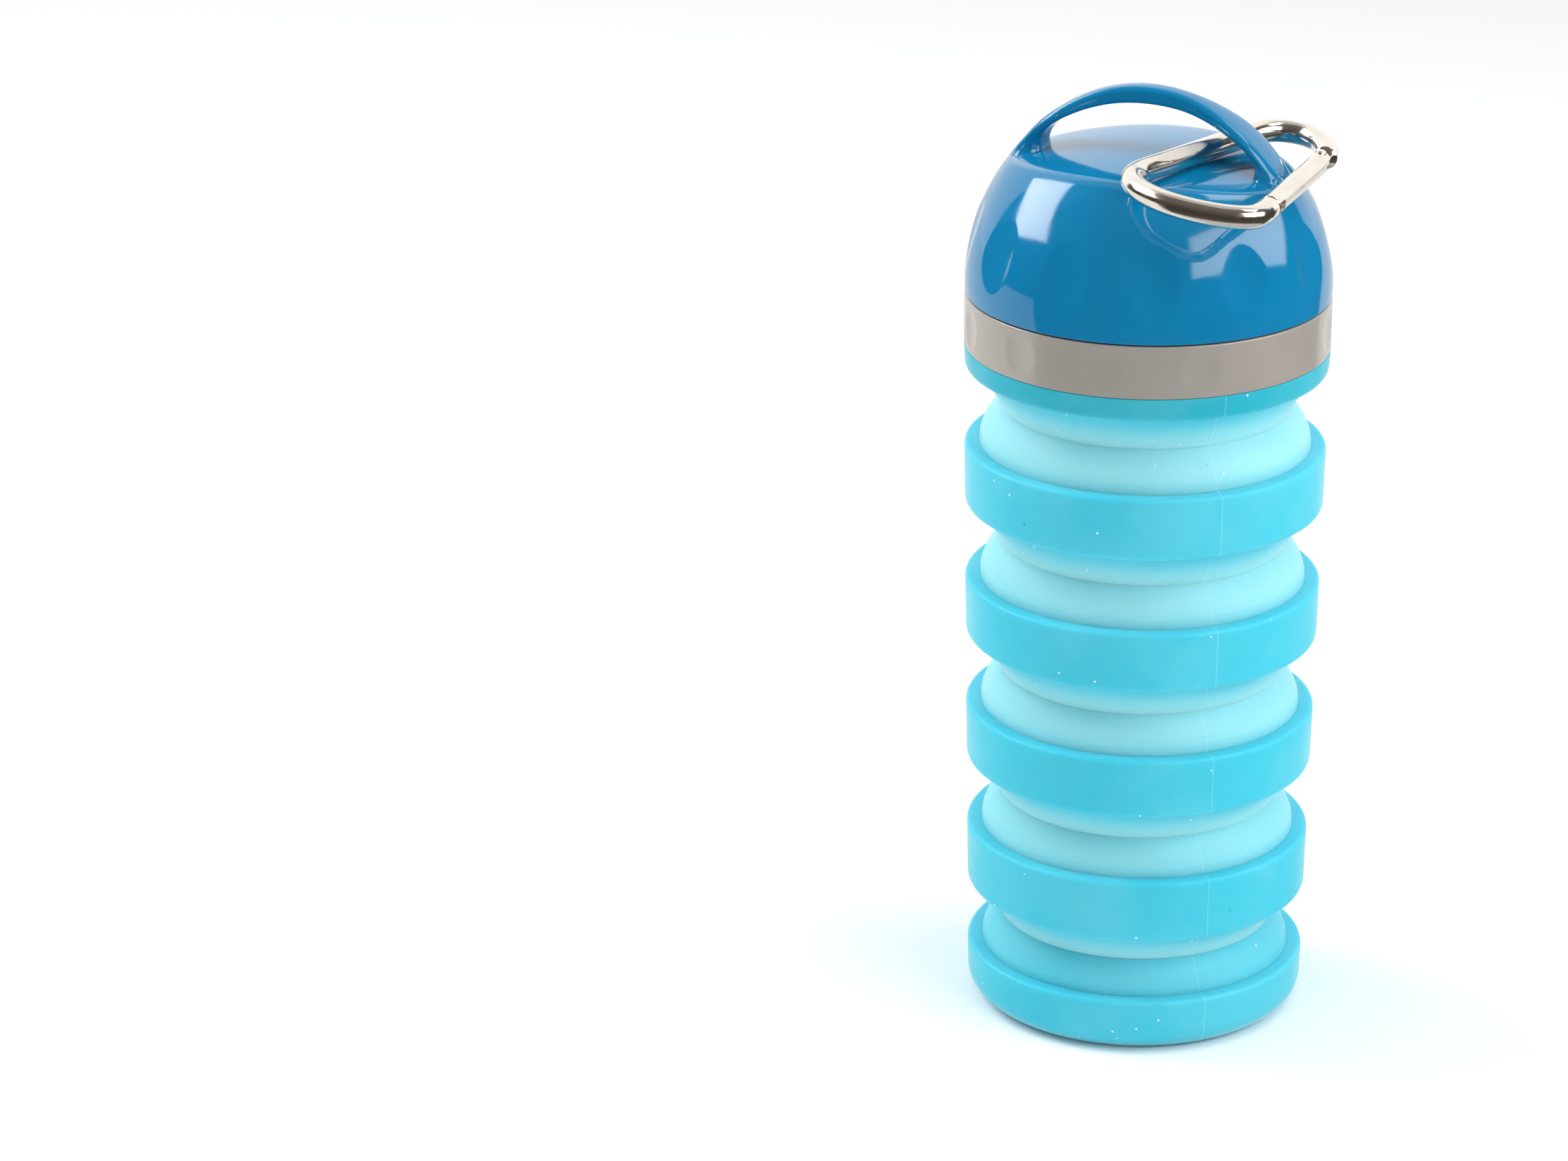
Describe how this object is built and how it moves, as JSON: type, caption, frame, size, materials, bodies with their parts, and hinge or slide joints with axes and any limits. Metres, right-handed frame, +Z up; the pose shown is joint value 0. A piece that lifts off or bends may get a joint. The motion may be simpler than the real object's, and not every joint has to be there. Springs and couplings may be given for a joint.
{
  "type": "folding water bottle",
  "caption": "Collapsible water bottle: stepped silicone bellows body, clamped threaded neck with a collar, dome screw cap with an arch handle, and a snap hook on the handle.",
  "frame": {"origin": "centre of the base's underside", "axes": "+Z up the bottle's axis; the handle's arch lies in the XZ plane, and the snap hook hangs on its +X leg; the bottle is pulled out to full height"},
  "size_m": [0.0765, 0.0792, 0.2012],
  "materials": {
    "silicone": "satin translucent food-grade silicone, cyan",
    "silicone_web": "the same silicone where it is thin, paler",
    "collar": "pearl grey moulded plastic with shallow dimples",
    "cap": "polished blue moulded plastic with shallow dimples",
    "neck": "plain white moulded plastic",
    "gasket": "clear silicone",
    "nickel": "polished nickel plate",
    "nickel_satin": "satin nickel plate",
    "spring_steel": "drawn spring wire"
  },
  "bodies": {
    "base": {"base_cup": "silicone", "fold_web_5": "silicone_web"},
    "hoop_e": {"hoop_e": "silicone", "fold_web_4": "silicone_web"},
    "hoop_d": {"hoop_d": "silicone", "fold_web_3": "silicone_web"},
    "hoop_c": {"hoop_c": "silicone", "fold_web_2": "silicone_web"},
    "hoop_b": {"hoop_b": "silicone", "fold_web_1": "silicone_web"},
    "neck": {"neck_hoop": "silicone", "collar_ring": "collar", "neck_insert": "neck"},
    "seal": {"cap_gasket": "gasket"},
    "cap": {"cap_shell": "cap", "cap_liner": "neck"},
    "carabiner": {"carabiner_frame": "nickel", "gate_rivet": "nickel"},
    "gate": {"carabiner_gate": "nickel_satin", "gate_plunger": "spring_steel", "gate_spring": "spring_steel"}
  },
  "joints": [
    {"name": "fold_5", "type": "slide", "parent": "base", "child": "hoop_e", "axis": [0, 0, -1], "range_m": [0, 0.0129], "deforming": ["fold_web_5"]},
    {"name": "fold_4", "type": "slide", "parent": "hoop_e", "child": "hoop_d", "axis": [0, 0, -1], "range_m": [0, 0.0139], "deforming": ["fold_web_4"]},
    {"name": "fold_3", "type": "slide", "parent": "hoop_d", "child": "hoop_c", "axis": [0, 0, -1], "range_m": [0, 0.0144], "deforming": ["fold_web_3"]},
    {"name": "fold_2", "type": "slide", "parent": "hoop_c", "child": "hoop_b", "axis": [0, 0, -1], "range_m": [0, 0.0152], "deforming": ["fold_web_2"]},
    {"name": "collapse", "type": "slide", "parent": "hoop_b", "child": "neck", "axis": [0, 0, -1], "range_m": [0, 0.01565], "deforming": ["fold_web_1"]},
    {"name": "cap_lift", "type": "slide", "parent": "neck", "child": "seal", "axis": [0, 0, 1], "range_m": [0, 0.016]},
    {"name": "cap_turn", "type": "hinge", "parent": "seal", "child": "cap", "pos_m": [0, 0, 0.1576], "axis": [0, 0, 1], "range_deg": [0, 720]},
    {"name": "carabiner_swing", "type": "hinge", "parent": "cap", "child": "carabiner", "pos_m": [0.01192, -0.00477, 0.18967], "axis": [-0.2771, -0.9608, 0.0092], "range_deg": [0, 110]},
    {"name": "gate_open", "type": "hinge", "parent": "carabiner", "child": "gate", "pos_m": [0.03508, 0.00394, 0.18791], "axis": [-0.0807, 0.0137, -0.9966], "range_deg": [0, 22], "stiffness_Nm_per_rad": 0.02, "springref_deg": -14.32, "deforming": ["gate_spring"]}
  ],
  "couplings": [
    {"joint": "fold_5", "follows": "collapse", "ratio": 0.82428},
    {"joint": "fold_4", "follows": "collapse", "ratio": 0.88818},
    {"joint": "fold_3", "follows": "collapse", "ratio": 0.92013},
    {"joint": "fold_2", "follows": "collapse", "ratio": 0.97125},
    {"joint": "cap_lift", "follows": "cap_turn", "m_per_rad": 0.0012732}
  ]
}
